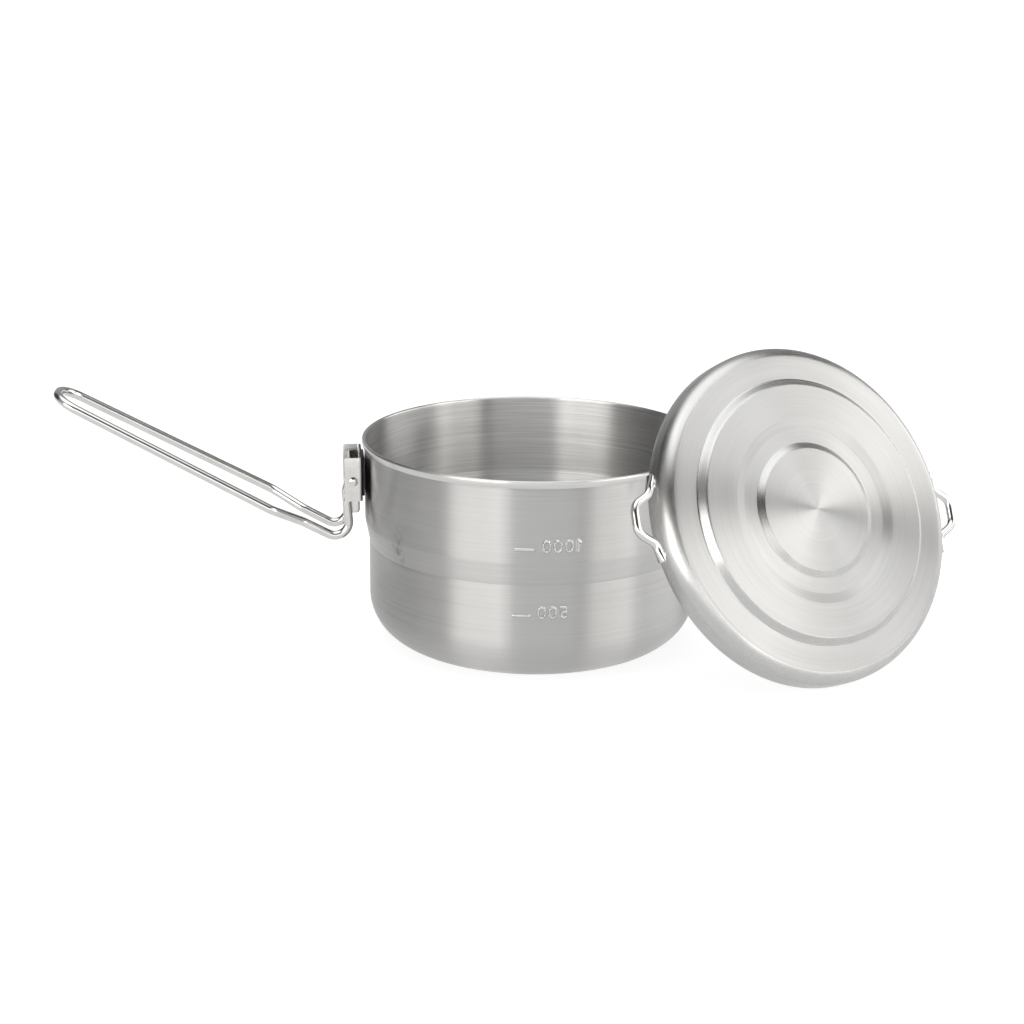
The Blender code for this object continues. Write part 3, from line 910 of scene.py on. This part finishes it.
def make_slide(material):
    """The lock slide: a channel with a rounded nose below and a slot for the pin."""
    nose = SLIDE_NOSE_RADIUS
    outline = arc((-SLIDE_FRONT_S + nose, SLIDE_LOW + nose), nose, 180.0, 270.0, 10)
    outline += arc((-SLIDE_BACK_S - nose, SLIDE_LOW + nose), nose, 270.0, 360.0, 10)
    outline += [(-SLIDE_BACK_S, SLIDE_HIGH), (-SLIDE_FRONT_S, SLIDE_HIGH)]
    slide = prism("lock_slide_fine", outline, -SLIDE_HALF_WIDTH, SLIDE_HALF_WIDTH, material)
    bevelled(slide, SLIDE_OUTER_BEND, 6, 60.0)
    inner = SLIDE_HALF_WIDTH - SLIDE_SHEET
    wall = -SLIDE_FRONT_S + SLIDE_SHEET
    open_side = -SLIDE_BACK_S + CUT_MARGIN
    plan = filleted([((open_side, -inner), 0.0), ((wall, -inner), SLIDE_INNER_BEND),
                     ((wall, inner), SLIDE_INNER_BEND), ((open_side, inner), 0.0)], 5)
    lower, upper = ([(x, y, z) for x, y in plan] for z in (SLIDE_LOW - CUT_MARGIN, SLIDE_HIGH + CUT_MARGIN))
    combined(slide, between("hollow", lower, upper, material), "DIFFERENCE")
    width = PIN_RADIUS + GAP
    slot = arc((-PIVOT_S, PIVOT_Z), width, 0.0, 180.0, 12)
    slot += arc((-PIVOT_S, PIVOT_Z - SLIDE_TRAVEL), width, 180.0, 360.0, 12)
    reach = SLIDE_HALF_WIDTH + CUT_MARGIN
    combined(slide, prism("slot", slot, -reach, reach, material), "DIFFERENCE")
    smoothed(slide.data, 35.0)
    return slide


# ---------------------------------------------------------------- stage

def make_floor():
    """A pale ground that glows a little, so that nearly no shadow shows on it."""
    builder = bmesh.new()
    bmesh.ops.create_grid(builder, x_segments=8, y_segments=8, size=FLOOR_SIZE / 2.0)
    mesh = bpy.data.meshes.new("floor")
    builder.to_mesh(mesh)
    builder.free()
    material, tree, shader = new_material("pale floor", 0.0)
    place = add_node(tree, "ShaderNodeTexCoord").outputs["Object"]
    shade = ramped(tree, noise(tree, place, 6.0), 0.3, 0.7, 0.99, 1.0)
    tree.links.new(scaled(tree, (0.30, 0.30, 0.30), shade), shader.inputs["Base Color"])
    shader.inputs["Roughness"].default_value = 0.9
    shader.inputs["Specular IOR Level"].default_value = 0.1
    shader.inputs["Emission Color"].default_value = (1.0, 1.0, 1.0, 1.0)
    shader.inputs["Emission Strength"].default_value = 0.81
    mesh.materials.append(material)
    floor = placed("floor", mesh)
    floor.location.z = -FLOOR_DROP


def make_world():
    """A grey studio with a bright ceiling and soft lights on both sides of the camera.

    Each light is a window in azimuth, measured to the right of the camera, and elevation,
    both in degrees.  Its tuple holds the azimuths and their softness, the elevations and
    their softness, its strength and how warm it is.
    """
    world = bpy.data.worlds.new("studio")
    bpy.context.scene.world = world
    world.use_nodes = True
    tree = world.node_tree
    background = tree.nodes["Background"]
    place = add_node(tree, "ShaderNodeTexCoord").outputs["Generated"]
    x, y, z = add_node(tree, "ShaderNodeSeparateXYZ", {0: place}).outputs
    turn = calc(tree, "ADD", calc(tree, "ARCTAN2", x, calc(tree, "MULTIPLY", y, -1.0)), -CAMERA_TURN)
    turn = calc(tree, "WRAP", turn, pi, -pi)
    azimuth = calc(tree, "MULTIPLY", turn, 180.0 / pi)
    elevation = calc(tree, "MULTIPLY", calc(tree, "ARCSINE", z), 180.0 / pi)

    def edge(value, start, stop):
        """Climbs smoothly from 0 at start to 1 at stop, or falls where stop is the smaller."""
        climbing = float(stop > start)
        limits = {"Value": value, "From Min": min(start, stop), "From Max": max(start, stop),
                  "To Min": 1.0 - climbing, "To Max": climbing}
        return add_node(tree, "ShaderNodeMapRange", limits, interpolation_type="SMOOTHSTEP").outputs[0]

    def window(value, low, high, soft):
        rising = edge(value, low - soft, low + soft)
        return calc(tree, "MULTIPLY", rising, edge(value, high + soft, high - soft))

    everywhere = 999.0
    light = (0.10, 0.10, 0.10)
    lights = [((-57.0, -18.0, 4.0), (-everywhere, 29.0, 8.0), 4.24, 1.0),
              ((-88.0, -29.0, 12.0), (-7.0, everywhere, 12.0), 0.50, 1.0),
              ((38.0, 71.0, 4.0), (-everywhere, 30.0, 8.0), 3.63, 1.0),
              ((68.0, 90.0, 6.0), (-everywhere, 7.0, 6.0), 4.60, 0.3),
              ((68.0, 90.0, 6.0), (26.0, 44.0, 8.0), 4.20, 0.3),
              ((90.0, 125.0, 8.0), (5.0, 30.0, 8.0), 3.50, 0.3),
              ((-27.0, 31.0, 4.0), (-everywhere, 24.0, 8.0), 1.98, 0.0),
              ((140.0, everywhere, 10.0), (-everywhere, 57.0, 10.0), 0.34, 0.0),
              ((-everywhere, -140.0, 10.0), (-everywhere, 57.0, 10.0), 0.34, 0.0),
              ((-everywhere, everywhere, 1.0), (57.0, everywhere, 10.0), 2.25, 0.0)]
    for across, upright, strength, warmth in lights:
        shape = calc(tree, "MULTIPLY", window(azimuth, *across), window(elevation, *upright))
        colour = (strength, strength * (1.0 - 0.018 * warmth), strength * (1.0 - 0.040 * warmth))
        both = {0: light, 1: scaled(tree, colour, shape)}
        light = add_node(tree, "ShaderNodeVectorMath", both, operation="ADD").outputs[0]
    tree.links.new(light, background.inputs["Color"])
    world.cycles.sampling_method = "NONE"


def make_camera():
    data = bpy.data.cameras.new("camera")
    data.lens = CAMERA_LENS
    data.clip_start = 0.05
    data.clip_end = 60.0
    camera = placed("camera", data)
    turn = Matrix.Rotation(CAMERA_TURN, 4, "Z")
    place = Vector((CAMERA_SIDE, -CAMERA_DISTANCE * cos(CAMERA_ELEVATION),
                    CAMERA_LIFT + CAMERA_DISTANCE * sin(CAMERA_ELEVATION)))
    look = Matrix.Rotation(radians(90.0) - CAMERA_ELEVATION, 4, "X") @ Matrix.Rotation(CAMERA_ROLL, 4, "Z")
    camera.matrix_world = turn @ Matrix.Translation(place) @ look
    bpy.context.scene.camera = camera


# ---------------------------------------------------------------- build

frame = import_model()
make_camera()
make_floor()
make_world()
bpy.context.scene.view_settings.view_transform = "Standard"

warm_grey = (0.420, 0.418, 0.412)
scuff_turn = MARK_TURN - radians(50.9)
scuff = {"centre": (POT_LOWER_RADIUS * cos(scuff_turn), POT_LOWER_RADIUS * sin(scuff_turn), 0.054),
         "stretch": (170.0, 170.0, 90.0), "depth": 0.45}
pot_steel = turned_steel("brushed pot steel", warm_grey, roughness=0.41, anisotropy=0.985,
                         rise=1.0, contrast=0.09, scuff=scuff)
# The inside's colour is far lighter than the outside wall's: painted light for the light that falls into the
# pot. Its stronger brushing is real.
inside_steel_painted_lighter = turned_steel("brushed inside steel with painted light", (0.60, 0.597, 0.588), roughness=0.35,
                            anisotropy=0.985, rise=1.0, contrast=0.32)
hem_steel = turned_steel("rolled rim steel", (0.50, 0.497, 0.49), roughness=0.30,
                         anisotropy=0.80, rise=1.0, contrast=0.06)
mark_steel = turned_steel("pressed mark steel", (0.47, 0.467, 0.46), roughness=0.24,
                          anisotropy=0.50, rise=1.0, contrast=0.03)
lid_steel = turned_steel("brushed lid steel", warm_grey, roughness=0.41, anisotropy=0.985,
                         rise=-1.0, contrast=0.07)
formed_steel = turned_steel("formed lid steel", warm_grey, roughness=0.27, anisotropy=0.90,
                            rise=-1.0, contrast=0.05)
wire_steel = polished_steel("polished wire steel", (0.54, 0.535, 0.525), 0.09, wave=0.00002)
pressed_steel = polished_steel("pressed sheet steel", (0.56, 0.553, 0.54), 0.22, wave=0.00003)
# Near-black steel: painted shade for the crevice between the bracket and the pot's wall.
painted_shade_steel = polished_steel("painted shade steel", (0.035, 0.034, 0.033), 0.45, wave=0.00003)

for piece, body, slot, node in (
        (make_pot([pot_steel, hem_steel, inside_steel_painted_lighter, mark_steel]), "pot", "brushed_pot", "pot_body"),
        (make_bracket(pressed_steel, painted_shade_steel), "pot", "pressed_bracket", "handle_bracket"),
        (make_pin(wire_steel), "pot", "polished_wire", "pivot_pin"),
        (make_handle(wire_steel), "handle", "polished_wire", "handle_wire"),
        (make_slide(pressed_steel), "lock", "pressed_bracket", "lock_slide"),
        (make_lid([lid_steel, formed_steel]), "lid", "brushed_lid", "lid_shell"),
        (make_ear("lid_ear_left_fine", pi, wire_steel), "lid", "polished_wire", "lid_ear_left"),
        (make_ear("lid_ear_right_fine", 0.0, wire_steel), "lid", "polished_wire", "lid_ear_right")):
    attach(piece, body)
    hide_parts(node)
    # The pot's wall doesn't mirror the lid
    piece.visible_glossy = body != "lid"

for ear, middle in (("left", pi), ("right", 0.0)):
    for place, side in (("upper", -1.0), ("lower", 1.0)):
        bead = make_weld(f"lid_ear_{ear}_weld_{place}", middle + side * BEAD_ANGLE, wire_steel)
        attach(bead, "lid")
